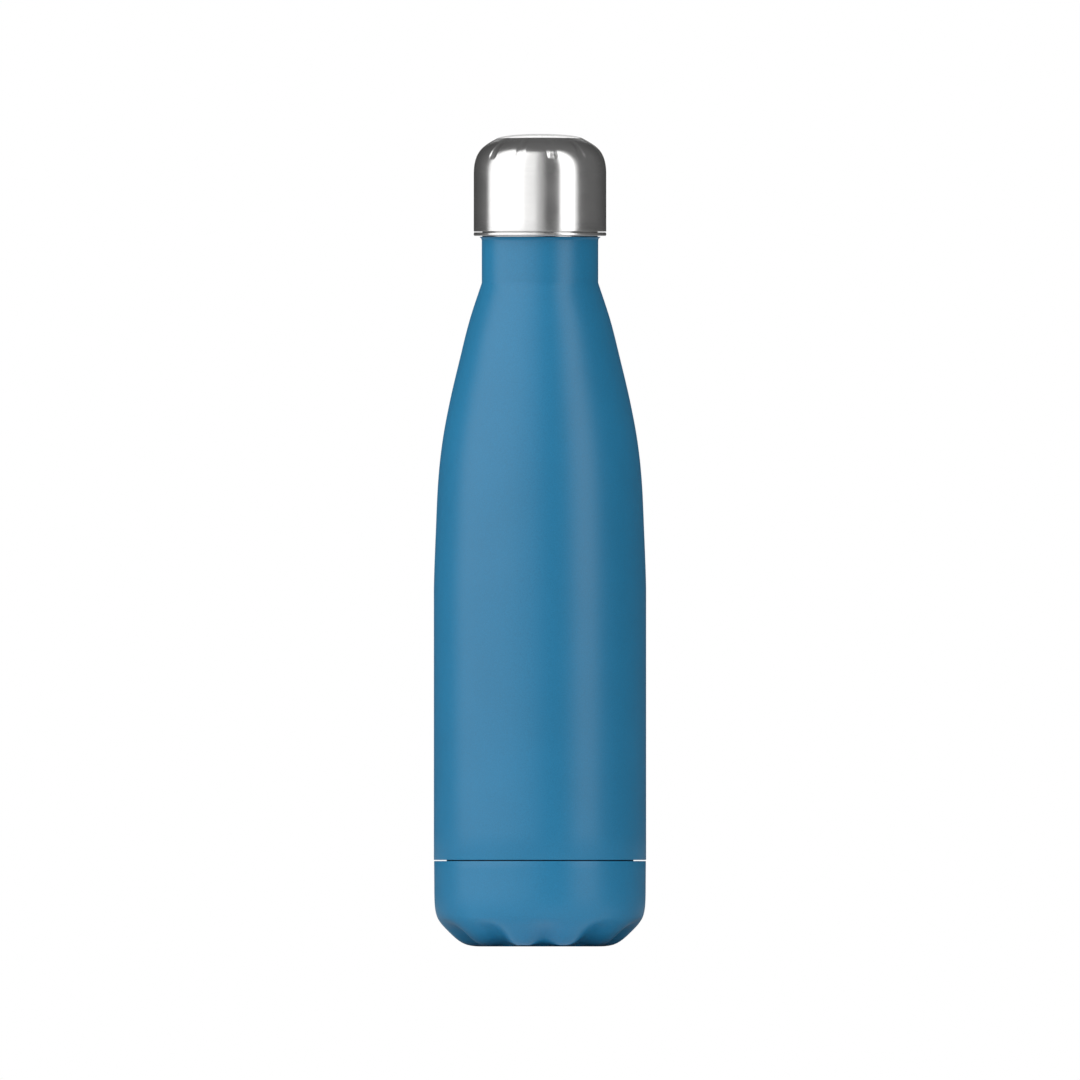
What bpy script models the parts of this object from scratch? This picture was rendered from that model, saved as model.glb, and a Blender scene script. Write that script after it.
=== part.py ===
"""Double-wall drinking bottle with a fluted screw cap and a screw-on base cup.

All lengths below are millimetres; the meshes are written in metres. +Z is up, -Y is the front and
the origin is the centre of the standing face. Every piece but the getter is turned round the Z axis.
A section is a closed loop of (radius, height) points that runs up the outside and down the inside.
"""

import math

import bpy

METRES = 0.001
TURN = 2 * math.pi
FRONT = -TURN / 4

# Outer wall: a straight body, a shoulder through these stations and a straight neck
BODY_R = 35.0
NECK_R = 19.2
SHOULDER = (
    (BODY_R, 118.0),
    (34.34, 137.2),
    (33.56, 153.6),
    (32.12, 166.8),
    (29.66, 180.0),
    (26.56, 193.2),
    (23.24, 206.4),
    (NECK_R, 218.8),
)
SHOULDER_SPANS = 8
WALL = 0.6
SHELL_FOOT = 28.53
LEDGE_R = 19.9
LEDGE_Z = 234.0
BARE_NECK_R = 19.0
BARE_NECK_BORE = 18.5
WALL_TOP = 249.0
SHELL_SIDES = 40

# Inner flask, set in from the outer wall by the vacuum space
LINER_INSET = 3.1
LINER_WALL = 0.5
LINER_NECK_R = 16.1
LINER_BORE = 15.6
LINER_FOOT = 37.5
FLASK_SIDES = 28
MOUTH_TOP = 251.0
GAP = 0.3

# Dished bottom of the liner, from the axis to its rim: under side and upper side
DISH_UNDER = ((0, 34.2), (12, 33.85), (24, 32.8), (28, 33.0), (30.7, 34.3))
DISH_OVER = ((30.3, 34.7), (27.8, 33.55), (24, 33.3), (12, 34.35), (0, 34.7))

# Vacuum space
SHIELD_OUT = 32.75
SHIELD_IN = 32.4
SHIELD_Z = (42.0, 115.0)
JACKET_R = 34.05
JACKET_Z = 29.6
JACKET_FLANGE = 2.8
POCKET_R = 4.8
POCKET_RISE = 1.0
BEAD_R = 2.3
BEAD_Z = (29.65, 30.3)
GETTER_AT = (-17.0, 0.0)
GETTER_R = 4.2
GETTER_Z = (30.5, 32.1)

# Cap
CAP_R = 21.85
CAP_FOOT = 234.3
CAP_SPLIT = 235.45
CAP_SIDE_TOP = 254.6
CAP_TOP = 267.9
DISC_R = 13.9
DISC_Z = 266.6
CAP_BEND = ((CAP_R, CAP_SIDE_TOP), (CAP_R, 262.6), (18.45, 264.1), (DISC_R, DISC_Z))
CAP_DOME = ((DISC_R, DISC_Z), (12.4, 267.15), (8.5, CAP_TOP), (0.0, CAP_TOP))
FLUTES = 12
FLUTE_PHASE = FRONT + math.radians(11.3)
FLUTE_HALF = 1.75
FLUTE_TIP = 0.75
FLUTE_DEPTH = 0.22
FLUTE_FOOT = (21.4, 259.2)
CORE_R = 20.95
CORE_BORE = 19.6
CORE_DECK = 254.8
CORE_BEND = ((CORE_R, 255.0), (20.1, 258.0), (18.3, 261.0), (15.3, 263.1), (12.6, 263.8))
CORE_POCKET_R = 12.0
RIM_BORE = 20.2

# Stopper
PLUG_R = 14.0
PLUG_CREST = 15.1
PLUG_BORE = 11.8
PLUG_FOOT = 224.3
FLANGE_R = 18.9
FLANGE_Z = 253.0
FLANGE_TOP = 254.5
FOAM_R = 11.4
FOAM_Z = (226.4, 254.1)
PLUG_END_R = 13.4
PLUG_END_Z = (222.7, 224.0)
SPIGOT_TOP = 226.1
SEAL_BORE = 14.4
SEAL_R = 18.5
PLUG_THREAD = (233.5, 246.5)
NECK_THREAD = (232.5, 246.5)
NECK_CREST = 14.8
NECK_PITCH = 4.0

# Base cup
BASE_TOP = 28.17
BASE_CORNER = ((34.86, 20.06), (34.86, 10.9), (34.5, 9.4), (31.2, 5.95))
BASE_FOOT = ((31.2, 5.95), (26.4, 1.07), (25.0, 0.0), (19.0, 0.0))
RECESS_R = 15.2
RECESS_Z = 0.7
DIMPLES = 10
DIMPLE_PHASE = FRONT + math.radians(3)
DIMPLE_DEPTH = 2.8
DIMPLE_REACH = 24.0
DIMPLE_SKEW = 0.75
DIMPLE_LENGTHWISE = 1.2
DIMPLE_CROSSWISE = 1.3
BASE_SIDES = 8 * DIMPLES

# Base thread
COLLAR_R = 30.4
COLLAR_CREST = 31.2
COLLAR_TOP_R = 30.8
COLLAR_BORE = 28.3
COLLAR_Z = (18.4, 29.3)
RING_R = 33.85
RING_BORE = 31.75
RING_CREST = 30.95
RING_Z = (14.6, 27.85)
LEDGE_IN_R = 28.2
BASE_PITCH = 3.0
BASE_THREAD = (19.0, 26.4)
THREAD_SIDES = 32
STARTS = 2
BASE_SEAL_BORE = 28.5
BASE_SEAL_R = 30.4
MAT_R = 19.6
MAT_Z = (1.6, 3.6)

# Colour, roughness and metallic share of each material
PAINT = ((0.062, 0.225, 0.40), 0.42, 0.0)
STEEL = ((0.60, 0.59, 0.58), 0.22, 1.0)
LINER_STEEL = ((0.52, 0.51, 0.50), 0.34, 1.0)
COPPER = ((0.78, 0.36, 0.20), 0.3, 1.0)
GLASS = ((0.05, 0.05, 0.06), 0.1, 0.0)
BLACK_PLASTIC = ((0.018, 0.018, 0.02), 0.5, 0.0)
SILICONE = ((0.55, 0.56, 0.57), 0.6, 0.0)
FOAM = ((0.75, 0.73, 0.66), 0.9, 0.0)
MAT_GREY = ((0.06, 0.06, 0.065), 0.8, 0.0)


def clear_scene():
    for obj in list(bpy.data.objects):
        bpy.data.objects.remove(obj, do_unlink=True)


def new_material(name, look):
    colour, roughness, metallic = look
    material = bpy.data.materials.new(name + "_material")
    material.use_nodes = True
    shader = material.node_tree.nodes["Principled BSDF"]
    shader.inputs["Base Color"].default_value = (*colour, 1.0)
    shader.inputs["Roughness"].default_value = roughness
    shader.inputs["Metallic"].default_value = metallic
    return material


def even_angles(count):
    return [TURN * i / count for i in range(count)]


def sweep(name, section_at, angles, look, centre=(0.0, 0.0)):
    """One closed piece through the sections at these angles; points that coincide are one vertex."""
    points = []
    found = {}

    def vertex(column, angle, point):
        radius, height = point
        key = (column % len(angles) if radius > 0 else 0, round(radius, 5), round(height, 5))
        if key not in found:
            found[key] = len(points)
            x = centre[0] + radius * math.cos(angle)
            y = centre[1] + radius * math.sin(angle)
            points.append((x * METRES, y * METRES, height * METRES))
        return found[key]

    faces = []
    stops = angles + [angles[0] + TURN]
    columns = []
    for column, angle in enumerate(stops):
        columns.append([vertex(column, angle, point) for point in section_at(angle)])
    for left, right in zip(columns, columns[1:]):
        for i in range(len(left)):
            j = (i + 1) % len(left)
            corners = []
            for corner in (left[i], right[i], right[j], left[j]):
                if corner not in corners:
                    corners.append(corner)
            if len(corners) > 2:
                faces.append(corners)
    mesh = bpy.data.meshes.new(name)
    mesh.from_pydata(points, [], faces)
    obj = bpy.data.objects.new(name, mesh)
    bpy.context.scene.collection.objects.link(obj)
    mesh.materials.append(new_material(name, look))
    mesh.shade_smooth()
    mesh.set_sharp_from_angle(angle=math.radians(35))
    return obj


def lathe(name, section, sides, look, centre=(0.0, 0.0)):
    return sweep(name, lambda angle: section, even_angles(sides), look, centre)


def bezier(ends, steps):
    """Points along a cubic, both ends included."""
    path = []
    for step in range(steps + 1):
        t = step / steps
        weights = ((1 - t) ** 3, 3 * t * (1 - t) ** 2, 3 * t * t * (1 - t), t**3)
        path.append(tuple(sum(w * p[axis] for w, p in zip(weights, ends)) for axis in (0, 1)))
    return path


def hermite(ends, slopes, t):
    """The point at t on the smooth curve between two stations with these slopes."""
    first = 2 * t**3 - 3 * t**2 + 1
    leaving = t**3 - 2 * t**2 + t
    arriving = t**3 - t**2
    (a, b), (u, v) = ends, slopes
    return tuple(first * a[i] + (1 - first) * b[i] + leaving * u[i] + arriving * v[i] for i in (0, 1))


def shoulder_path(spans):
    """The shoulder from the top of the straight body to the foot of the neck, in even steps."""
    below = (BODY_R, SHOULDER[0][1] - 18)
    above = tuple(2 * SHOULDER[-1][i] - SHOULDER[-2][i] for i in (0, 1))
    stations = [below, *SHOULDER, above]
    slopes = [tuple((b[i] - a[i]) / 2 for i in (0, 1)) for a, b in zip(stations, stations[2:])]
    path = []
    for step in range(spans + 1):
        place = step * (len(SHOULDER) - 1) / spans
        span = min(int(place), len(SHOULDER) - 2)
        path.append(hermite(SHOULDER[span : span + 2], slopes[span : span + 2], place - span))
    return path


def inset(path, distance):
    """The path, which runs upwards, moved square to itself towards the inside of the wall."""
    moved = []
    for i, (radius, height) in enumerate(path):
        before = path[max(i - 1, 0)]
        after = path[min(i + 1, len(path) - 1)]
        across = after[0] - before[0]
        up = after[1] - before[1]
        length = math.hypot(across, up)
        moved.append((radius - distance * up / length, height + distance * across / length))
    return moved


def thread_path(angle, span, root, crest, pitch, shift, flat, flank):
    """Right-hand thread from the foot of the span to its top at this angle; it fades at both ends."""
    low, high = span
    rise = pitch * (STARTS * angle / TURN + shift)
    fade = pitch / 2
    half = flat / 2
    profile = ((-half - flank, 0), (-half, 1), (half, 1), (half + flank, 0))
    path = []
    for ridge in range(int(low / pitch) - STARTS - 2, int(high / pitch) + 3):
        for offset, raised in profile:
            height = min(max(ridge * pitch + rise + offset, low), high)
            share = min(1.0, (height - low) / fade, (high - height) / fade)
            path.append((root + (crest - root) * raised * share, height))
    return path


def outer_shell():
    """Painted wall with a turned foot, the shoulder and the ledge on which the cap stands."""
    outside = [(34.6, SHELL_FOOT), (34.85, SHELL_FOOT), (BODY_R, SHELL_FOOT + 0.15)]
    shoulder = shoulder_path(SHOULDER_SPANS)
    neck = [(NECK_R, 232.9), (19.45, 233.55), (LEDGE_R, LEDGE_Z - 0.15), (19.7, LEDGE_Z)]
    bare = [(BARE_NECK_R, LEDGE_Z), (BARE_NECK_R, WALL_TOP), (BARE_NECK_BORE, WALL_TOP)]
    inside = inset(shoulder, WALL)[::-1]
    foot = [(BODY_R - WALL, SHELL_FOOT + 0.2)]
    lathe("outer_shell", outside + shoulder + neck + bare + inside + foot, SHELL_SIDES, PAINT)


def inner_flask():
    """Liner with the two-start thread rolled into its neck, open at the mouth and at the foot."""
    shoulder = shoulder_path(SHOULDER_SPANS)
    outside = inset(shoulder, LINER_INSET)
    inside = inset(shoulder, LINER_INSET + LINER_WALL)[::-1]

    def section(angle):
        thread = thread_path(angle, NECK_THREAD, LINER_BORE, NECK_CREST, NECK_PITCH, 0.5, 0.9, 0.4)
        path = [(BODY_R - LINER_INSET, LINER_FOOT)] + outside
        path += [(LINER_NECK_R, 219.6), (LINER_NECK_R, WALL_TOP), (LINER_BORE, WALL_TOP)]
        path += thread[::-1] + [(LINER_BORE, 219.4)] + inside
        return path + [(BODY_R - LINER_INSET - LINER_WALL, LINER_FOOT)]

    sweep("inner_flask", section, even_angles(FLASK_SIDES), LINER_STEEL)


def inner_bottom():
    """Dished bottom of the liner, butted to its foot."""
    outer = BODY_R - LINER_INSET
    rim = [(outer, LINER_FOOT - GAP), (outer - LINER_WALL, LINER_FOOT - GAP)]
    lathe("inner_bottom", [*DISH_UNDER, *rim, *DISH_OVER], FLASK_SIDES, LINER_STEEL)


def mouth_ring():
    """Rounded lip that joins the two walls."""
    low = WALL_TOP + GAP
    under = [(15.9, low), (18.7, low), (BARE_NECK_R, low + 0.3)]
    over = [(BARE_NECK_R, MOUTH_TOP - 0.6), (18.5, MOUTH_TOP), (16.1, MOUTH_TOP)]
    bore = [(LINER_BORE, MOUTH_TOP - 0.6), (LINER_BORE, low + 0.3)]
    lathe("mouth_ring", under + over + bore, 32, STEEL)


def copper_shield():
    """Foil sleeve round the straight part of the liner."""
    low, high = SHIELD_Z
    section = [(SHIELD_IN, low), (SHIELD_OUT, low), (SHIELD_OUT, high), (SHIELD_IN, high)]
    lathe("copper_shield", section, 24, COPPER)


def jacket_bottom():
    """Flanged disc that closes the vacuum space, with a pocket under its centre for the seal."""
    pocket = JACKET_Z + POCKET_RISE
    top = JACKET_Z + JACKET_FLANGE
    inner = JACKET_R - WALL
    under = [(0, pocket), (POCKET_R, pocket), (POCKET_R + 0.6, JACKET_Z), (33.4, JACKET_Z)]
    flange = [(JACKET_R, JACKET_Z + 0.6), (JACKET_R, top), (inner, top)]
    over = [(inner, JACKET_Z + WALL), (POCKET_R + 1.3, JACKET_Z + WALL), (POCKET_R + 0.7, pocket + WALL)]
    lathe("jacket_bottom", under + flange + over + [(0, pocket + WALL)], 36, LINER_STEEL)


def seal_bead():
    """Frit bead in the pocket of the jacket bottom."""
    low, high = BEAD_Z
    section = [(0, low), (BEAD_R - 0.8, low + 0.1), (BEAD_R, low + 0.4), (BEAD_R, high), (0, high)]
    lathe("seal_bead", section, 16, GLASS)


def getter_capsule():
    """Flat capsule that stands on the jacket bottom inside the vacuum space."""
    low, high = GETTER_Z
    section = [(0, low), (GETTER_R, low), (GETTER_R, high - 0.3), (GETTER_R - 0.6, high), (0, high)]
    lathe("getter_capsule", section, 16, STEEL, GETTER_AT)


def cap_outline():
    """The cap's outside from foot to axis: a straight side, the fluted bend and the domed disc."""
    side = [(CAP_R - 0.12, CAP_SPLIT + 0.25), (CAP_R, CAP_SPLIT + 0.37)]
    return side + bezier(CAP_BEND, 10) + bezier(CAP_DOME, 4)[1:]


def flute_depth(angle, point):
    """How far the nearest flute, a tongue that narrows towards the disc, presses this point in."""
    radius, height = point
    foot_r, foot_z = FLUTE_FOOT
    if height <= foot_z or radius <= DISC_R:
        return 0.0
    pitch = TURN / FLUTES
    away = radius * abs((angle - FLUTE_PHASE + pitch / 2) % pitch - pitch / 2)
    share = min(1.0, (radius - DISC_R) / (foot_r - DISC_R))
    half = FLUTE_TIP + (FLUTE_HALF - FLUTE_TIP) * share
    rise = min(1.0, (height - foot_z) / FLUTE_HALF)
    half *= math.sqrt(1 - (1 - rise) ** 2)
    return FLUTE_DEPTH * rise * max(0.0, 1 - (away / half) ** 4)


def pressed(path, depths):
    """The path with each point moved inwards, square to the path, by its own depth."""
    moved = []
    for i, (point, depth) in enumerate(zip(path, depths)):
        moved.append(inset(path, depth)[i] if depth > 0 else point)
    return moved


def cap_shell():
    """Pressed cap with twelve flutes in its bend."""
    outline = cap_outline()
    lining = inset(outline, WALL)
    lining[0] = (CAP_R - WALL, outline[0][1])
    lining[-1] = (0, CAP_TOP - WALL)
    kept = slice(0, None, 2)

    def section(angle):
        depths = [flute_depth(angle, point) for point in outline]
        outside = pressed(outline, depths)
        inside = pressed(lining, depths)
        return outside + inside[kept][::-1]

    half = FLUTE_HALF / FLUTE_FOOT[0]
    plain = TURN / FLUTES - 2 * half
    angles = []
    for flute in range(FLUTES):
        middle = FLUTE_PHASE + TURN * flute / FLUTES
        angles += [middle + half * step / 2 for step in range(-2, 3)]
        angles += [middle + half + plain * step / 3 for step in (1, 2)]
    sweep("cap_shell", section, angles, STEEL)


def cap_rim():
    """Steel band under the groove at the foot of the cap."""
    under = [(RIM_BORE, CAP_FOOT), (CAP_R - 0.3, CAP_FOOT), (CAP_R, CAP_FOOT + 0.3)]
    over = [(CAP_R, CAP_SPLIT - 0.12), (CAP_R - 0.12, CAP_SPLIT), (RIM_BORE, CAP_SPLIT)]
    lathe("cap_rim", under + over, 48, STEEL)


def cap_core():
    """Moulding between the cap and the stopper, with a pocket under the dome."""
    foot = CAP_SPLIT + GAP
    under = [(0, CORE_DECK), (CORE_BORE, CORE_DECK), (CORE_BORE, foot), (CORE_R, foot)]
    pocket = [(CORE_POCKET_R, CORE_DECK + 1.6), (0, CORE_DECK + 1.6)]
    lathe("cap_core", [*under, *CORE_BEND, *pocket], 40, BLACK_PLASTIC)


def plug():
    """Threaded tube with the flange that presses the gasket on the mouth."""

    def section(angle):
        foot = [(PLUG_BORE, PLUG_FOOT), (PLUG_R - 0.6, PLUG_FOOT), (PLUG_R, PLUG_FOOT + 0.6)]
        thread = thread_path(angle, PLUG_THREAD, PLUG_R, PLUG_CREST, NECK_PITCH, 0.0, 1.0, 0.5)
        flange = [(PLUG_R, FLANGE_Z), (FLANGE_R, FLANGE_Z), (FLANGE_R, FLANGE_TOP)]
        return foot + thread + flange + [(PLUG_BORE, FLANGE_TOP)]

    sweep("plug", section, even_angles(FLASK_SIDES), BLACK_PLASTIC)


def plug_foam():
    """Insulation that fills the stopper."""
    low, high = FOAM_Z
    section = [(0, low), (FOAM_R, low), (FOAM_R, high), (0, high)]
    lathe("plug_foam", section, 20, FOAM)


def plug_base():
    """End disc of the stopper, with a spigot inside the tube."""
    low, high = PLUG_END_Z
    disc = [(0, low), (PLUG_END_R - 0.7, low), (PLUG_END_R, low + 0.5), (PLUG_END_R, high)]
    spigot = [(FOAM_R, high), (FOAM_R, SPIGOT_TOP), (0, SPIGOT_TOP)]
    lathe("plug_base", disc + spigot, FLASK_SIDES, STEEL)


def lip_gasket():
    """Ring between the mouth and the stopper's flange."""
    low, high = MOUTH_TOP + GAP, FLANGE_Z - GAP
    under = [(SEAL_BORE, low), (SEAL_R - 0.3, low), (SEAL_R, low + 0.3)]
    over = [(SEAL_R, high - 0.3), (SEAL_R - 0.3, high), (SEAL_BORE, high)]
    lathe("lip_gasket", under + over, 36, SILICONE)


def dimpled(angle, point):
    """A point of the cup's wall, pushed in by the nearest dimple at 45 degrees to the axis."""
    radius, height = point
    along = (radius - BASE_FOOT[-1][0] + height) / DIMPLE_REACH
    if not 0 < along < 1 or radius < BASE_FOOT[-1][0]:
        return point
    across = 0.5 + 0.5 * math.cos(DIMPLES * (angle - DIMPLE_PHASE))
    profile = math.sin(math.pi * along**DIMPLE_SKEW) ** DIMPLE_LENGTHWISE * across**DIMPLE_CROSSWISE
    push = DIMPLE_DEPTH * profile / math.sqrt(2)
    return (radius - push, height + push)


def base_cup():
    """Bottom cup: a recessed foot, a dimpled corner and a straight wall up to the parting line."""
    foot = [(0, RECESS_Z), (RECESS_R, RECESS_Z), (RECESS_R + 0.8, 0)]
    corner = bezier(BASE_FOOT, 6)[::-1] + bezier(BASE_CORNER, 6)[-2::-1]
    lip = [(34.97, BASE_TOP - 0.15), (34.82, BASE_TOP), (34.4, BASE_TOP)]
    lining = inset(corner, WALL)[::-2]
    floor = [(RECESS_R + 0.5, WALL), (RECESS_R - 0.3, RECESS_Z + WALL), (0, RECESS_Z + WALL)]

    def section(angle):
        outside = [dimpled(angle, point) for point in corner]
        inside = [dimpled(angle, point) for point in lining]
        return foot + outside + lip + inside + floor

    angles = [DIMPLE_PHASE + step for step in even_angles(BASE_SIDES)]
    sweep("base_cup", section, angles, PAINT)


def base_collar():
    """Male-threaded collar under the flask; its plain top shows in the parting gap."""
    low, high = COLLAR_Z

    def section(angle):
        foot = [(COLLAR_BORE, low), (COLLAR_R - 0.4, low), (COLLAR_R, low + 0.4)]
        thread = thread_path(angle, BASE_THREAD, COLLAR_R, COLLAR_CREST, BASE_PITCH, 0.0, 0.7, 0.45)
        head = [(COLLAR_TOP_R, high - 2.5), (COLLAR_TOP_R, high), (COLLAR_BORE, high)]
        return foot + thread + head

    sweep("base_collar", section, even_angles(THREAD_SIDES), BLACK_PLASTIC)


def base_thread_ring():
    """Female-threaded ring fixed in the cup, with the ledge that carries the gasket."""
    low, high = RING_Z

    def section(angle):
        outside = [(LEDGE_IN_R, low), (RING_R - 0.4, low), (RING_R, low + 0.4), (RING_R, high)]
        thread = thread_path(angle, BASE_THREAD, RING_BORE, RING_CREST, BASE_PITCH, 0.5, 0.6, 0.45)
        ledge = [(RING_BORE, low + 2.0), (LEDGE_IN_R, low + 2.0)]
        return outside + [(RING_BORE + 0.3, high), (RING_BORE, high - 0.3)] + thread[::-1] + ledge

    sweep("base_thread_ring", section, even_angles(THREAD_SIDES), BLACK_PLASTIC)


def base_gasket():
    """Ring on the ledge, under the collar."""
    low, high = RING_Z[0] + 2 + GAP, COLLAR_Z[0] - GAP
    section = [(BASE_SEAL_BORE, low), (BASE_SEAL_R, low), (BASE_SEAL_R, high), (BASE_SEAL_BORE, high)]
    lathe("base_gasket", section, THREAD_SIDES, SILICONE)


def cushion_mat():
    """Soft disc on the floor of the cup."""
    low, high = MAT_Z
    under = [(0, low), (MAT_R - 0.4, low), (MAT_R, low + 0.4)]
    over = [(MAT_R, high - 0.4), (MAT_R - 0.4, high), (0, high)]
    lathe("cushion_mat", under + over, 32, MAT_GREY)


clear_scene()
outer_shell()
inner_flask()
inner_bottom()
mouth_ring()
copper_shield()
jacket_bottom()
seal_bead()
getter_capsule()
cap_shell()
cap_rim()
cap_core()
plug()
plug_foam()
plug_base()
lip_gasket()
base_cup()
base_collar()
base_thread_ring()
base_gasket()
cushion_mat()
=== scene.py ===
"""Looks of the insulated bottle: fine surfaces, materials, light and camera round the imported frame.

Lengths in the tables are millimetres in the frame of the CAD model and are turned to metres in sweep().
"""

import math

import bpy
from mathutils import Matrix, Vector

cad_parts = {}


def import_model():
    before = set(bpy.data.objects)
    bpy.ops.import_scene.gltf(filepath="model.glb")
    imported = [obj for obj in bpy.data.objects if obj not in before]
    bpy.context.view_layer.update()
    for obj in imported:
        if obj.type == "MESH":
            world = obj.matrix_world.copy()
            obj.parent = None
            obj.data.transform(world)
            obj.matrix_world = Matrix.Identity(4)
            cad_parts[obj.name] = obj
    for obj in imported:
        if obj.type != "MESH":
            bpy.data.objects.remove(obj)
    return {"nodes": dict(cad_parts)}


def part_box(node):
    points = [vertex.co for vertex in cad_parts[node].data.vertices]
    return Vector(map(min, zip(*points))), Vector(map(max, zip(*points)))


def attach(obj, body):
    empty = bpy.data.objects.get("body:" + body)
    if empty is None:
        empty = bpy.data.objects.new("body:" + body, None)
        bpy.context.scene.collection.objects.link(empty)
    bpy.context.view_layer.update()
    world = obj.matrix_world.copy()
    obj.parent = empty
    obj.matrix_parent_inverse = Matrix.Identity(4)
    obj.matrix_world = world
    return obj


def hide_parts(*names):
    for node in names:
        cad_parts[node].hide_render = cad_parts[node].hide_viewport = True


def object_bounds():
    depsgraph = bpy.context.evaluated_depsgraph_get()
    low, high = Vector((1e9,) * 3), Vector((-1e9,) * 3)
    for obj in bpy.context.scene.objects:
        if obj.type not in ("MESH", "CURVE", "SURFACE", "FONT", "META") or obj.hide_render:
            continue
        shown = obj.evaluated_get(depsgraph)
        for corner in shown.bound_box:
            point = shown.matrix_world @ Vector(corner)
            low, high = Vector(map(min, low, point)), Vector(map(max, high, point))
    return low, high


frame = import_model()
cad_low, cad_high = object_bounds()

MM = 0.001
TURN = 2 * math.pi
FRONT = -TURN / 4


def high(node):
    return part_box(node)[1] / MM


def low(node):
    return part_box(node)[0] / MM


# Outer wall, read from the frame where a node gives it
BODY_R = high("outer_shell").x
NECK_R = 19.2
SHOULDER = (
    (BODY_R, 118.0),
    (34.34, 137.2),
    (33.56, 153.6),
    (32.12, 166.8),
    (29.66, 180.0),
    (26.56, 193.2),
    (23.24, 206.4),
    (NECK_R, 218.8),
)
WALL = 0.6
SHELL_FOOT = low("outer_shell").z
WALL_TOP = high("outer_shell").z
LEDGE_R = 19.9
LEDGE_Z = 234.0
BARE_NECK_R = high("mouth_ring").x
BARE_NECK_BORE = 18.5

# Inner flask and vacuum space
LINER_INSET = BODY_R - high("inner_flask").x
LINER_WALL = 0.5
LINER_NECK_R = 16.1
LINER_BORE = 15.6
LINER_FOOT = low("inner_flask").z
MOUTH_FOOT = low("mouth_ring").z
MOUTH_TOP = high("mouth_ring").z
GAP = 0.3
JACKET_R = high("jacket_bottom").x
JACKET_Z = low("jacket_bottom").z
JACKET_FLANGE = 2.8
POCKET_R = 4.8
POCKET_RISE = 1.0

# Cap
CAP_R = high("cap_shell").x
CAP_FOOT = low("cap_rim").z
CAP_SPLIT = high("cap_rim").z
CAP_SHELL_FOOT = low("cap_shell").z
CAP_TOP = high("cap_shell").z
CAP_SIDE_TOP = 254.6
DISC_R = 13.9
DISC_Z = 266.6
CAP_BEND = ((CAP_R, CAP_SIDE_TOP), (CAP_R, 262.6), (18.45, 264.1), (DISC_R, DISC_Z))
CAP_DOME = ((DISC_R, DISC_Z), (12.4, 267.15), (8.5, CAP_TOP), (0.0, CAP_TOP))
FLUTES = 12
FLUTE_PHASE = FRONT + math.radians(11.3)
FLUTE_HALF = 1.75
FLUTE_TIP = 0.75
FLUTE_DEPTH = 0.2
FLUTE_FOOT = (21.4, 259.2)
CORE_R = high("cap_core").x
CORE_BORE = 19.6
CORE_DECK = 254.8
CORE_BEND = ((CORE_R, 255.0), (20.1, 258.0), (18.3, 261.0), (15.3, 263.1), (12.6, 263.8))
CORE_POCKET_R = 12.0
RIM_BORE = 20.2

# Stopper
PLUG_R = 14.0
PLUG_CREST = 15.1
PLUG_BORE = 11.8
PLUG_FOOT = low("plug").z
FLANGE_R = high("plug").x
FLANGE_Z = 253.0
FLANGE_TOP = high("plug").z
FOAM_R = 11.4
PLUG_END_R = 13.4
PLUG_END_Z = (low("plug_base").z, 224.0)
SPIGOT_TOP = high("plug_base").z
SEAL_BORE = 14.4
SEAL_R = high("lip_gasket").x
PLUG_THREAD = (233.5, 246.5)
NECK_THREAD = (232.5, 246.5)
NECK_CREST = 14.8
NECK_PITCH = 4.0

# Base cup
BASE_TOP = high("base_cup").z
BASE_CORNER = ((34.86, 20.06), (34.86, 10.9), (34.5, 9.4), (31.2, 5.95))
BASE_FOOT = ((31.2, 5.95), (26.4, 1.07), (25.0, 0.0), (19.0, 0.0))
RECESS_R = 15.2
RECESS_Z = 0.7
DIMPLES = 10
DIMPLE_PHASE = FRONT + math.radians(3)
DIMPLE_DEPTH = 2.8
DIMPLE_REACH = 24.0
DIMPLE_SKEW = 0.75
DIMPLE_LENGTHWISE = 1.2
DIMPLE_CROSSWISE = 1.3

# Base thread
COLLAR_R = 30.4
COLLAR_CREST = 31.2
COLLAR_TOP_R = 30.8
COLLAR_BORE = 28.3
COLLAR_FOOT = low("base_collar").z
COLLAR_TOP = high("base_collar").z
RING_R = high("base_thread_ring").x
RING_BORE = 31.75
RING_CREST = 30.95
RING_FOOT = low("base_thread_ring").z
RING_TOP = high("base_thread_ring").z
LEDGE_IN_R = 28.2
BASE_PITCH = 3.0
BASE_THREAD = (19.0, 26.4)
STARTS = 2
BASE_SEAL_BORE = 28.5
BASE_SEAL_R = high("base_gasket").x
MAT_R = high("cushion_mat").x
MAT_Z = (low("cushion_mat").z, high("cushion_mat").z)
MAT_RINGS = 6


# ---------------------------------------------------------------- shapes


def even_angles(count):
    return [TURN * i / count for i in range(count)]


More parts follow.
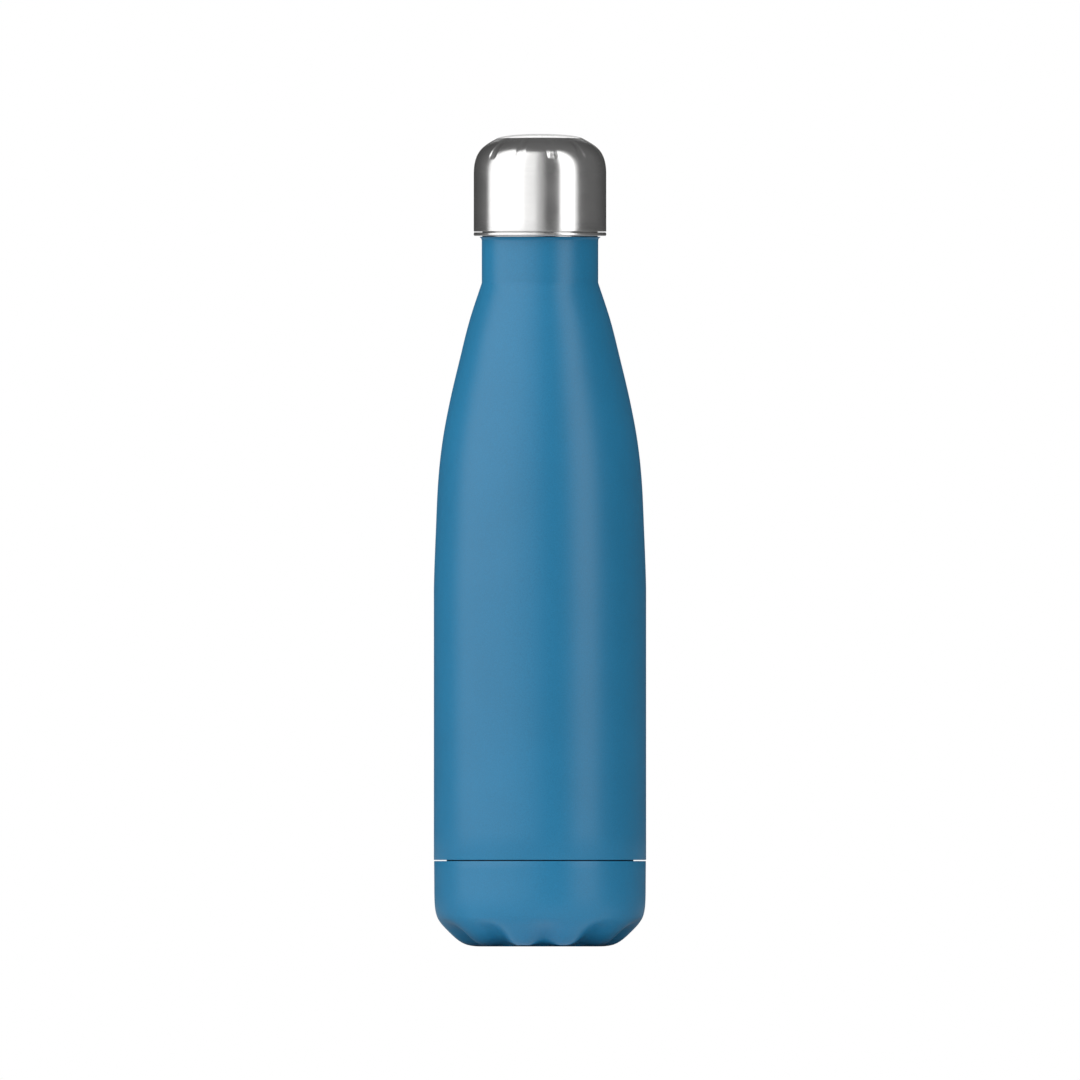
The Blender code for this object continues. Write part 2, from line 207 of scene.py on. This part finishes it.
def sweep(name, section_at, angles, materials, body, nodes, material_at=None):
    """One closed piece through the sections at these angles; points that coincide are one vertex."""
    points = []
    found = {}

    def vertex(column, angle, point):
        radius, height = point
        key = (column % len(angles) if radius > 0 else 0, round(radius, 5), round(height, 5))
        if key not in found:
            found[key] = len(points)
            points.append((radius * math.cos(angle) * MM, radius * math.sin(angle) * MM, height * MM))
        return found[key]

    columns = []
    for column, angle in enumerate(angles + [angles[0] + TURN]):
        columns.append([vertex(column, angle, point) for point in section_at(angle)])
    faces = []
    for left, right in zip(columns, columns[1:]):
        for i in range(len(left)):
            j = (i + 1) % len(left)
            corners = []
            for corner in (left[i], right[i], right[j], left[j]):
                if corner not in corners:
                    corners.append(corner)
            if len(corners) > 2:
                faces.append(corners)
    mesh = bpy.data.meshes.new(name)
    mesh.from_pydata(points, [], faces)
    for material in materials:
        mesh.materials.append(material)
    if material_at:
        for polygon in mesh.polygons:
            polygon.material_index = material_at(polygon.center / MM)
    mesh.shade_smooth()
    mesh.set_sharp_from_angle(angle=math.radians(40))
    obj = bpy.data.objects.new(name, mesh)
    bpy.context.scene.collection.objects.link(obj)
    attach(obj, body)
    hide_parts(*nodes)
    return obj


def lathe(name, section, sides, material, body, node):
    return sweep(name, lambda angle: section, even_angles(sides), [material], body, [node])


def bezier(ends, steps):
    """Points along a cubic, both ends included."""
    path = []
    for step in range(steps + 1):
        t = step / steps
        weights = ((1 - t) ** 3, 3 * t * (1 - t) ** 2, 3 * t * t * (1 - t), t**3)
        path.append(tuple(sum(w * p[axis] for w, p in zip(weights, ends)) for axis in (0, 1)))
    return path


def rounded(section, radius, steps=3):
    """The closed section with an arc at every corner off the axis, no longer than its sides allow."""
    made = []
    for i, corner in enumerate(section):
        before = section[i - 1]
        after = section[(i + 1) % len(section)]
        here = Vector(corner)
        back = Vector(before) - here
        on = Vector(after) - here
        reach = min(radius, 0.45 * back.length, 0.45 * on.length)
        straight = back.length < 1e-6 or on.length < 1e-6 or back.angle(on) > math.radians(172)
        if corner[0] <= 0 or straight:
            made.append(corner)
            continue
        start = here + back.normalized() * reach
        end = here + on.normalized() * reach
        for step in range(steps + 1):
            t = step / steps
            point = start * (1 - t) ** 2 + here * 2 * t * (1 - t) + end * t * t
            made.append((point.x, point.y))
    return made


def hermite(ends, slopes, t):
    """The point at t on the smooth curve between two stations with these slopes."""
    first = 2 * t**3 - 3 * t**2 + 1
    leaving = t**3 - 2 * t**2 + t
    arriving = t**3 - t**2
    (a, b), (u, v) = ends, slopes
    return tuple(first * a[i] + (1 - first) * b[i] + leaving * u[i] + arriving * v[i] for i in (0, 1))


def shoulder_path(spans):
    """The shoulder from the top of the straight body to the foot of the neck."""
    below = (BODY_R, SHOULDER[0][1] - 18)
    above = tuple(2 * SHOULDER[-1][i] - SHOULDER[-2][i] for i in (0, 1))
    stations = [below, *SHOULDER, above]
    slopes = [tuple((b[i] - a[i]) / 2 for i in (0, 1)) for a, b in zip(stations, stations[2:])]
    path = []
    for step in range(spans + 1):
        place = step * (len(SHOULDER) - 1) / spans
        span = min(int(place), len(SHOULDER) - 2)
        path.append(hermite(SHOULDER[span : span + 2], slopes[span : span + 2], place - span))
    return path


def inset(path, distance):
    """The path, which runs upwards, moved square to itself towards the inside of the wall."""
    distances = distance if isinstance(distance, list) else [distance] * len(path)
    moved = []
    for i, (radius, height) in enumerate(path):
        before = path[max(i - 1, 0)]
        after = path[min(i + 1, len(path) - 1)]
        across = after[0] - before[0]
        up = after[1] - before[1]
        length = math.hypot(across, up)
        step = distances[i]
        moved.append((max(0.0, radius - step * up / length), height + step * across / length))
    return moved


def soft_step(x):
    x = max(0.0, min(1.0, x))
    return x * x * (3 - 2 * x)


def thread_path(angle, span, root, crest, pitch, shift, flat, flank):
    """Right-hand thread with rounded crests up the span at this angle; it fades at both ends."""
    foot, top = span
    rise = pitch * (STARTS * angle / TURN + shift)
    fade = pitch / 2
    half = flat / 2 + flank
    offsets = [(-half + flank * step / 4, soft_step(step / 4)) for step in range(5)]
    offsets += [(0.0, 1.04)] + [(-place, height) for place, height in offsets[::-1]]
    path = []
    for ridge in range(int(foot / pitch) - STARTS - 2, int(top / pitch) + 3):
        for offset, raised in offsets:
            height = min(max(ridge * pitch + rise + offset, foot), top)
            share = soft_step(min(1.0, (height - foot) / fade, (top - height) / fade))
            path.append((root + (crest - root) * raised * share, height))
    return path


# ---------------------------------------------------------------- materials


def material_of(name):
    material = bpy.data.materials.new(name)
    material.use_nodes = True
    tree = material.node_tree
    return material, tree, tree.nodes["Principled BSDF"]


def noise(tree, scale, detail, stretch=(1, 1, 1)):
    """Noise in the object's own coordinates, stretched along its axes."""
    place = tree.nodes.new("ShaderNodeTexCoord")
    mapping = tree.nodes.new("ShaderNodeMapping")
    mapping.inputs["Scale"].default_value = stretch
    texture = tree.nodes.new("ShaderNodeTexNoise")
    texture.inputs["Scale"].default_value = scale
    texture.inputs["Detail"].default_value = detail
    tree.links.new(place.outputs["Object"], mapping.inputs["Vector"])
    tree.links.new(mapping.outputs["Vector"], texture.inputs["Vector"])
    return texture.outputs["Fac"]


def ramp(tree, value, stops):
    """A colour ramp over value; stops are (place, colour)."""
    made = tree.nodes.new("ShaderNodeValToRGB")
    elements = made.color_ramp.elements
    for i, (place, colour) in enumerate(stops):
        element = elements[i] if i < 2 else elements.new(place)
        element.position = place
        element.color = (*colour, 1) if isinstance(colour, tuple) else (colour, colour, colour, 1)
    tree.links.new(value, made.inputs["Fac"])
    return made.outputs["Color"]


def bump(tree, shader, *layers):
    """Stacks (height, depth in metres, strength) layers on the shader's normal."""
    under = None
    for height, distance, strength in layers:
        made = tree.nodes.new("ShaderNodeBump")
        made.inputs["Distance"].default_value = distance
        made.inputs["Strength"].default_value = strength
        tree.links.new(height, made.inputs["Height"])
        if under:
            tree.links.new(under, made.inputs["Normal"])
        under = made.outputs["Normal"]
    tree.links.new(under, shader.inputs["Normal"])


def powder_coat(name, tone):
    """Matte coat with the fine orange peel and speckle of sprayed and baked powder."""
    material, tree, shader = material_of(name)
    speckle = noise(tree, 2600, 2)
    cloud = noise(tree, 34, 2)
    mixed = tree.nodes.new("ShaderNodeMath")
    mixed.operation = "MULTIPLY_ADD"
    mixed.inputs[1].default_value = 0.35
    tree.links.new(cloud, mixed.inputs[0])
    tree.links.new(speckle, mixed.inputs[2])
    dark = tuple(0.90 * c for c in tone)
    light = tuple(1.10 * c for c in tone)
    colour = ramp(tree, mixed.outputs[0], [(0.45, dark), (0.90, light)])
    tree.links.new(colour, shader.inputs["Base Color"])
    tree.links.new(ramp(tree, speckle, [(0.3, 0.33), (0.7, 0.41)]), shader.inputs["Roughness"])
    bump(tree, shader, (noise(tree, 420, 1), 0.00003, 0.25), (speckle, 0.000012, 0.35))
    return material


def satin_steel(name, tone, roughness, lines):
    """Turned and polished steel with fine rings round the axis and a few faint handling marks."""
    material, tree, shader = material_of(name)
    shader.inputs["Metallic"].default_value = 1.0
    rings = noise(tree, 1.0, 3, (90, 90, 9000))
    grain = noise(tree, 3800, 2)
    smear = noise(tree, 60, 3, (1, 1, 2.5))
    tree.links.new(
        ramp(tree, rings, [(0.3, tuple(0.96 * c for c in tone)), (0.7, tuple(1.03 * c for c in tone))]),
        shader.inputs["Base Color"],
    )
    tree.links.new(
        ramp(tree, smear, [(0.3, roughness), (0.75, roughness * 1.25)]), shader.inputs["Roughness"]
    )
    bump(tree, shader, (rings, 0.000004, lines), (grain, 0.000002, 0.3))
    return material


def moulded(name, tone, roughness, grain_size):
    """Moulded plastic or rubber with a fine spark-eroded grain."""
    material, tree, shader = material_of(name)
    grain = noise(tree, grain_size, 3)
    patch = noise(tree, 80, 2)
    dark = tuple(0.85 * c for c in tone)
    light = tuple(1.15 * c for c in tone)
    tree.links.new(ramp(tree, patch, [(0.3, dark), (0.7, light)]), shader.inputs["Base Color"])
    tree.links.new(
        ramp(tree, grain, [(0.3, roughness * 0.9), (0.7, roughness * 1.1)]), shader.inputs["Roughness"]
    )
    bump(tree, shader, (grain, 0.00003, 0.3))
    return material


BLUE = powder_coat("blue_powder_coat", (0.0090, 0.183, 0.360))
CAP_STEEL = satin_steel("cap_steel", (0.645, 0.64, 0.635), 0.2, 0.25)
RIM_STEEL = satin_steel("rim_steel", (0.645, 0.64, 0.635), 0.2, 0.25)
LIP_STEEL = satin_steel("lip_steel", (0.62, 0.61, 0.60), 0.16, 0.3)
LINER_STEEL = satin_steel("liner_steel", (0.55, 0.54, 0.53), 0.3, 0.5)
JACKET_STEEL = satin_steel("jacket_steel", (0.52, 0.51, 0.50), 0.36, 0.6)
COPPER = satin_steel("copper_foil", (0.80, 0.38, 0.22), 0.28, 0.6)
BLACK = moulded("black_plastic", (0.02, 0.02, 0.022), 0.45, 2200)
SILICONE = moulded("silicone", (0.62, 0.63, 0.64), 0.5, 1600)
MAT = moulded("cushion_rubber", (0.07, 0.07, 0.075), 0.75, 1200)
FOAM = moulded("foam", (0.72, 0.70, 0.62), 0.9, 700)
FRIT = moulded("frit", (0.05, 0.05, 0.06), 0.12, 900)


# ---------------------------------------------------------------- flask


def wall():
    """Painted outer wall; above the ledge, under the cap, the steel is left bare."""
    foot = [(34.55, SHELL_FOOT), (34.85, SHELL_FOOT)]
    foot += [(34.96, SHELL_FOOT + 0.06), (BODY_R, SHELL_FOOT + 0.2)]
    body = [(BODY_R, SHELL_FOOT + 0.2 + step * 8.92) for step in range(1, 10)]
    shoulder = shoulder_path(72)
    crease = [(NECK_R, 219.3), (NECK_R, 222.0), (NECK_R, 228.0), (NECK_R, 232.6)]
    flare = [(19.25, 233.1), (19.42, 233.45), (19.68, 233.72), (LEDGE_R, 233.82), (LEDGE_R, 233.93)]
    flare += [(19.8, LEDGE_Z), (BARE_NECK_R + 0.15, LEDGE_Z), (BARE_NECK_R, LEDGE_Z + 0.12)]
    bare = [(BARE_NECK_R, 240.0), (BARE_NECK_R, WALL_TOP - 0.1), (BARE_NECK_R - 0.1, WALL_TOP)]
    bare += [(BARE_NECK_BORE, WALL_TOP)]
    inside = inset(shoulder, WALL)[::-1] + [(BODY_R - WALL, SHELL_FOOT + 0.2)]
    section = foot + body + shoulder + crease + flare + bare + inside

    def material_at(centre):
        hidden = math.hypot(centre.x, centre.y) < BARE_NECK_R + 0.3 and centre.z > LEDGE_Z - 0.1
        return 1 if hidden else 0

    coats = [BLUE, LIP_STEEL]
    sweep("wall", lambda angle: section, even_angles(192), coats, "flask", ["outer_shell"], material_at)


def liner():
    shoulder = shoulder_path(40)
    outside = inset(shoulder, LINER_INSET)
    inside = inset(shoulder, LINER_INSET + LINER_WALL)[::-1]

    def section(angle):
        thread = thread_path(angle, NECK_THREAD, LINER_BORE, NECK_CREST, NECK_PITCH, 0.5, 0.9, 0.4)
        path = [(BODY_R - LINER_INSET, LINER_FOOT)] + outside
        path += [(LINER_NECK_R, 219.6), (LINER_NECK_R, WALL_TOP), (LINER_BORE, WALL_TOP)]
        path += thread[::-1] + [(LINER_BORE, 219.4)] + inside
        return path + [(BODY_R - LINER_INSET - LINER_WALL, LINER_FOOT)]

    sweep("liner", section, even_angles(128), [LINER_STEEL], "flask", ["inner_flask"])


def liner_dish():
    outer = BODY_R - LINER_INSET
    rim = [(outer, LINER_FOOT - GAP), (outer - LINER_WALL, LINER_FOOT - GAP)]
    under = [(0, 34.2), (6, 34.15), (12, 33.85), (18, 33.25), (24, 32.8), (28, 33.0), (30.7, 34.3)]
    over = [(30.3, 34.7), (27.8, 33.55), (24, 33.3), (18, 33.75), (12, 34.35), (6, 34.65), (0, 34.7)]
    section = rounded(under + rim + over, 2.5, 4)
    lathe("liner_dish", section, 96, LINER_STEEL, "flask", "inner_bottom")


def lip():
    under = [(15.9, MOUTH_FOOT), (18.7, MOUTH_FOOT), (BARE_NECK_R, MOUTH_FOOT + 0.3)]
    over = [(BARE_NECK_R, MOUTH_TOP), (LINER_BORE, MOUTH_TOP), (LINER_BORE, MOUTH_FOOT + 0.3)]
    lathe("lip", rounded(under + over, 0.62, 7), 160, LIP_STEEL, "flask", "mouth_ring")


def jacket():
    pocket = JACKET_Z + POCKET_RISE
    top = JACKET_Z + JACKET_FLANGE
    under = [(0, pocket), (POCKET_R, pocket), (POCKET_R + 0.6, JACKET_Z), (14.0, JACKET_Z)]
    under += [(14.4, JACKET_Z + 0.25), (24.0, JACKET_Z + 0.25), (24.4, JACKET_Z), (JACKET_R, JACKET_Z)]
    flange = [(JACKET_R, top), (JACKET_R - WALL, top)]
    over = [(JACKET_R - WALL, JACKET_Z + WALL), (6.2, JACKET_Z + WALL), (5.6, pocket + WALL)]
    section = rounded(under + flange + over + [(0, pocket + WALL)], 0.5)
    lathe("jacket", section, 128, JACKET_STEEL, "flask", "jacket_bottom")


def collar():
    def section(angle):
        foot = [(COLLAR_BORE, COLLAR_FOOT + 0.2), (COLLAR_BORE + 0.2, COLLAR_FOOT)]
        foot += [(COLLAR_R - 0.4, COLLAR_FOOT), (COLLAR_R, COLLAR_FOOT + 0.4)]
        crest = COLLAR_CREST - 0.04
        thread = thread_path(angle, BASE_THREAD, COLLAR_R, crest, BASE_PITCH, 0.0, 0.7, 0.45)
        head = [(COLLAR_TOP_R, COLLAR_TOP - 2.5), (COLLAR_TOP_R, COLLAR_TOP - 0.2)]
        head += [(COLLAR_TOP_R - 0.2, COLLAR_TOP), (COLLAR_BORE, COLLAR_TOP)]
        return foot + thread + head

    sweep("collar", section, even_angles(160), [BLACK], "flask", ["base_collar"])


# ---------------------------------------------------------------- cap


def cap_outline():
    """The cap's outside from its foot to the axis."""
    foot = CAP_SHELL_FOOT
    side = [(CAP_R - 0.3, foot), (CAP_R - 0.12, foot + 0.02)]
    side += [(CAP_R - 0.03, foot + 0.1), (CAP_R, foot + 0.25)]
    side += [(CAP_R, foot + 0.25 + (CAP_SIDE_TOP - foot - 0.25) * step / 5) for step in range(1, 5)]
    return side + bezier(CAP_BEND, 52) + bezier(CAP_DOME, 16)[1:]


def flute_depth(angle, point):
    """How far the nearest flute, a tongue that narrows towards the disc, presses this point in."""
    radius, height = point
    foot_r, foot_z = FLUTE_FOOT
    if height < foot_z or radius < DISC_R:
        return 0.0
    pitch = TURN / FLUTES
    away = radius * abs((angle - FLUTE_PHASE + pitch / 2) % pitch - pitch / 2)
    share = min(1.0, (radius - DISC_R) / (foot_r - DISC_R))
    half = FLUTE_TIP + (FLUTE_HALF - FLUTE_TIP) * share
    rise = (height - foot_z) / FLUTE_HALF
    if rise < 1:
        half *= math.sqrt(max(0.0, 1 - (1 - rise) ** 2))
    if half <= 0 or away >= half:
        return 0.0
    fade = soft_step(share / 0.06)
    foot = soft_step(rise / 1.1)
    return FLUTE_DEPTH * (1 - (away / half) ** 4) ** 1.2 * fade * foot * (0.8 + 0.2 * share)


def cap_top():
    outline = cap_outline()
    lining = inset(outline, WALL)
    lining[0] = (CAP_R - WALL, outline[0][1])
    lining[-1] = (0, CAP_TOP - WALL)

    def section(angle):
        depths = [flute_depth(angle, point) for point in outline]
        return inset(outline, depths) + inset(lining, depths)[::-1]

    angles = []
    for flute in range(FLUTES):
        middle = FLUTE_PHASE + TURN * flute / FLUTES
        near = math.radians(6.0)
        for step in range(18):
            angles.append(middle - near + 2 * near * step / 18)
        for step in range(6):
            angles.append(middle + near + (TURN / FLUTES - 2 * near) * step / 6)
    sweep("cap_top", section, angles, [CAP_STEEL], "cap", ["cap_shell"])


def cap_band():
    under = [(RIM_BORE, CAP_FOOT), (CAP_R - 0.35, CAP_FOOT)]
    under += [(CAP_R - 0.12, CAP_FOOT + 0.06), (CAP_R, CAP_FOOT + 0.35)]
    over = [(CAP_R, CAP_SPLIT - 0.35), (CAP_R - 0.12, CAP_SPLIT - 0.06)]
    over += [(CAP_R - 0.3, CAP_SPLIT), (RIM_BORE, CAP_SPLIT)]
    lathe("cap_band", rounded(under + over, 0.2), 192, RIM_STEEL, "cap", "cap_rim")


def core():
    foot = low("cap_core").z
    under = [(0, CORE_DECK), (CORE_BORE, CORE_DECK), (CORE_BORE, foot), (CORE_R, foot)]
    pocket = [(CORE_POCKET_R, CORE_DECK + 1.6), (0, CORE_DECK + 1.6)]
    lathe("core", rounded([*under, *CORE_BEND, *pocket], 0.3), 128, BLACK, "cap", "cap_core")


def stopper():
    def section(angle):
        foot = [(PLUG_BORE, PLUG_FOOT), (PLUG_R - 0.6, PLUG_FOOT), (PLUG_R - 0.2, PLUG_FOOT + 0.2)]
        foot += [(PLUG_R, PLUG_FOOT + 0.6)]
        thread = thread_path(angle, PLUG_THREAD, PLUG_R, PLUG_CREST - 0.05, NECK_PITCH, 0.0, 1.0, 0.5)
        flange = [(PLUG_R, FLANGE_Z - 0.3), (PLUG_R + 0.3, FLANGE_Z), (FLANGE_R - 0.2, FLANGE_Z)]
        flange += [(FLANGE_R, FLANGE_Z + 0.2), (FLANGE_R, FLANGE_TOP)]
        return foot + thread + flange + [(PLUG_BORE, FLANGE_TOP)]

    sweep("stopper", section, even_angles(128), [BLACK], "cap", ["plug"])


def stopper_disc():
    foot, top = PLUG_END_Z
    disc = [(0, foot + 0.3), (9.6, foot + 0.3), (10.2, foot), (PLUG_END_R - 0.7, foot)]
    disc += [(PLUG_END_R, foot + 0.5), (PLUG_END_R, top)]
    spigot = [(FOAM_R, top), (FOAM_R, SPIGOT_TOP), (0, SPIGOT_TOP)]
    lathe("stopper_disc", rounded(disc + spigot, 0.3, 4), 96, LIP_STEEL, "cap", "plug_base")


def mouth_seal():
    foot, top = low("lip_gasket").z, high("lip_gasket").z
    section = [(SEAL_BORE, foot), (SEAL_R, foot), (SEAL_R, top), (SEAL_BORE, top)]
    lathe("mouth_seal", rounded(section, 0.4, 5), 128, SILICONE, "cap_riser", "lip_gasket")


# ---------------------------------------------------------------- base


def dimpled(angle, point):
    """A point of the cup's wall, pushed in by the nearest dimple at 45 degrees to the axis."""
    radius, height = point
    along = (radius - BASE_FOOT[-1][0] + height) / DIMPLE_REACH
    if not 0 < along < 1 or radius < BASE_FOOT[-1][0]:
        return point
    across = 0.5 + 0.5 * math.cos(DIMPLES * (angle - DIMPLE_PHASE))
    profile = math.sin(math.pi * along**DIMPLE_SKEW) ** DIMPLE_LENGTHWISE * across**DIMPLE_CROSSWISE
    push = DIMPLE_DEPTH * profile / math.sqrt(2)
    return (radius - push, height + push)


def cup():
    foot = [(0, RECESS_Z), (RECESS_R - 0.4, RECESS_Z), (RECESS_R, RECESS_Z - 0.1)]
    foot += [(RECESS_R + 0.4, RECESS_Z - 0.5), (RECESS_R + 0.6, 0.08), (RECESS_R + 1.0, 0)]
    corner = bezier(BASE_FOOT, 26)[::-1] + bezier(BASE_CORNER, 26)[-2::-1]
    side = [(34.88, 22.7), (34.9, 25.4), (34.92, BASE_TOP - 0.2)]
    lip_edge = [(34.88, BASE_TOP - 0.06), (34.78, BASE_TOP), (34.4, BASE_TOP)]
    lining = inset(corner, WALL)[::-1]
    floor = [(RECESS_R + 0.5, WALL), (RECESS_R - 0.3, RECESS_Z + WALL), (0, RECESS_Z + WALL)]

    def section(angle):
        outside = [dimpled(angle, point) for point in corner]
        inside = [dimpled(angle, point) for point in lining]
        return foot + outside + side + lip_edge + inside + floor

    sweep("cup", section, even_angles(240), [BLUE], "base", ["base_cup"])


def thread_ring():
    def section(angle):
        outside = [(LEDGE_IN_R, RING_FOOT), (RING_R - 0.4, RING_FOOT), (RING_R, RING_FOOT + 0.4)]
        outside += [(RING_R, RING_TOP - 0.2), (RING_R - 0.2, RING_TOP)]
        mouth = [(RING_BORE + 0.5, RING_TOP), (RING_BORE + 0.12, RING_TOP - 0.15)]
        mouth += [(RING_BORE, RING_TOP - 0.5)]
        thread = thread_path(angle, BASE_THREAD, RING_BORE, RING_CREST + 0.04, BASE_PITCH, 0.5, 0.6, 0.45)
        ledge = [(RING_BORE, RING_FOOT + 2.0), (LEDGE_IN_R + 0.2, RING_FOOT + 2.0)]
        ledge += [(LEDGE_IN_R, RING_FOOT + 1.8)]
        return outside + mouth + thread[::-1] + ledge

    sweep("thread_ring", section, even_angles(160), [BLACK], "base", ["base_thread_ring"])


def base_seal():
    foot, top = low("base_gasket").z, high("base_gasket").z
    section = [(BASE_SEAL_BORE, foot), (BASE_SEAL_R, foot), (BASE_SEAL_R, top), (BASE_SEAL_BORE, top)]
    lathe("base_seal", rounded(section, 0.35, 4), 128, SILICONE, "base_riser", "base_gasket")


def cushion():
    """Mat with raised rings on its top."""
    foot, crest = MAT_Z
    valley = crest - 0.35
    under = [(0, foot), (MAT_R, foot), (MAT_R, crest - 0.25)]
    top = []
    for ring in range(MAT_RINGS):
        outer = MAT_R - 0.7 - 3.1 * ring
        top += [(outer, crest), (outer - 1.5, crest), (outer - 1.8, valley), (outer - 2.8, valley)]
    lathe("cushion", rounded(under + top + [(0, valley)], 0.3), 128, MAT, "base", "cushion_mat")


wall()
liner()
liner_dish()
lip()
jacket()
collar()
cap_top()
cap_band()
core()
stopper()
stopper_disc()
mouth_seal()
cup()
thread_ring()
base_seal()
cushion()

CARRIED = {
    "copper_shield": COPPER,
    "getter_capsule": LIP_STEEL,
    "seal_bead": FRIT,
    "plug_foam": FOAM,
}
for name, material in CARRIED.items():
    kept = frame["nodes"][name]
    kept.data.materials.clear()
    kept.data.materials.append(material)


# ---------------------------------------------------------------- studio


def floor():
    """Plain pale floor under the bottle."""
    mesh = bpy.data.meshes.new("studio_floor")
    mesh.from_pydata([(-4, -4, 0), (4, -4, 0), (4, 4, 0), (-4, 4, 0)], [], [(0, 1, 2, 3)])
    material, tree, shader = material_of("studio_floor")
    shade = noise(tree, 0.8, 1)
    tree.links.new(ramp(tree, shade, [(0.3, 0.60), (0.7, 0.62)]), shader.inputs["Base Color"])
    shader.inputs["Roughness"].default_value = 0.9
    mesh.materials.append(material)
    obj = bpy.data.objects.new("studio_floor", mesh)
    bpy.context.scene.collection.objects.link(obj)


def softbox(name, azimuth, distance, width, bottom, top, radiance):
    """Upright rectangular light that faces the axis; azimuth is measured from the front to the right."""
    data = bpy.data.lights.new(name, "AREA")
    data.shape = "RECTANGLE"
    data.size = width
    data.size_y = top - bottom
    data.energy = radiance * math.pi * width * (top - bottom)
    obj = bpy.data.objects.new(name, data)
    around = math.radians(azimuth)
    obj.location = (distance * math.sin(around), -distance * math.cos(around), (top + bottom) / 2)
    obj.rotation_euler = (math.radians(90), 0, around)
    obj.visible_camera = False
    bpy.context.scene.collection.objects.link(obj)


def low_panel(middle, width, near, far, radiance):
    """Panel lying on the floor in front of the foot that lights the underside of the base corner."""
    data = bpy.data.lights.new("low_panel", "AREA")
    data.shape = "RECTANGLE"
    data.size = width
    data.size_y = near - far
    data.energy = radiance * math.pi * width * (near - far)
    obj = bpy.data.objects.new("low_panel", data)
    obj.location = (middle, (near + far) / 2, 0.0004)
    obj.rotation_euler = (math.pi, 0, 0)
    obj.visible_camera = False
    bpy.context.scene.collection.objects.link(obj)


def world(front, back):
    """Grey surroundings that darken behind; the camera sees white instead."""
    made = bpy.data.worlds.new("studio")
    made.use_nodes = True
    tree = made.node_tree
    grey = tree.nodes["Background"]
    place = tree.nodes.new("ShaderNodeTexCoord")
    split = tree.nodes.new("ShaderNodeSeparateXYZ")
    tree.links.new(place.outputs["Generated"], split.inputs["Vector"])
    tree.links.new(ramp(tree, split.outputs["Y"], [(0.35, front), (1.0, back)]), grey.inputs["Color"])
    white = tree.nodes.new("ShaderNodeBackground")
    white.inputs["Color"].default_value = (1, 1, 1, 1)
    path = tree.nodes.new("ShaderNodeLightPath")
    mix = tree.nodes.new("ShaderNodeMixShader")
    tree.links.new(path.outputs["Is Camera Ray"], mix.inputs["Fac"])
    tree.links.new(grey.outputs["Background"], mix.inputs[1])
    tree.links.new(white.outputs["Background"], mix.inputs[2])
    tree.links.new(mix.outputs["Shader"], tree.nodes["World Output"].inputs["Surface"])
    bpy.context.scene.world = made


def camera():
    """Square to the bottle at mid height, with parallel rays."""
    middle = (cad_low + cad_high) / 2
    data = bpy.data.cameras.new("camera")
    data.type = "ORTHO"
    data.ortho_scale = (cad_high.z - cad_low.z) * 1.3292
    obj = bpy.data.objects.new("camera", data)
    obj.location = (middle.x, middle.y - 1.2, middle.z + 0.00007)
    obj.rotation_euler = (math.radians(90), 0, 0)
    bpy.context.scene.collection.objects.link(obj)
    bpy.context.scene.camera = obj


floor()
softbox("left_softbox", -63.5, 0.8, 1.18, 0.0, 2.1, 1.65)
softbox("left_skirt", -16.5, 0.8, 0.30, 0.0, 2.1, 1.2)
softbox("left_fringe", 0, 0.8, 0.17, 0.0, 2.1, 0.5)
softbox("right_strip", 50, 0.8, 0.41, 0.0, 2.1, 2.2)
softbox("back_panel", 180, 1.0, 0.40, 0.62, 1.02, 1.7)
softbox("back_glow", 180, 1.0, 0.36, 0.285, 0.60, 0.6)
low_panel(-0.015, 0.24, -0.022, -0.12, 0.42)
world(0.165, 0.06)
camera()

bpy.context.scene.view_settings.view_transform = "Standard"
bpy.context.scene.view_settings.look = "None"
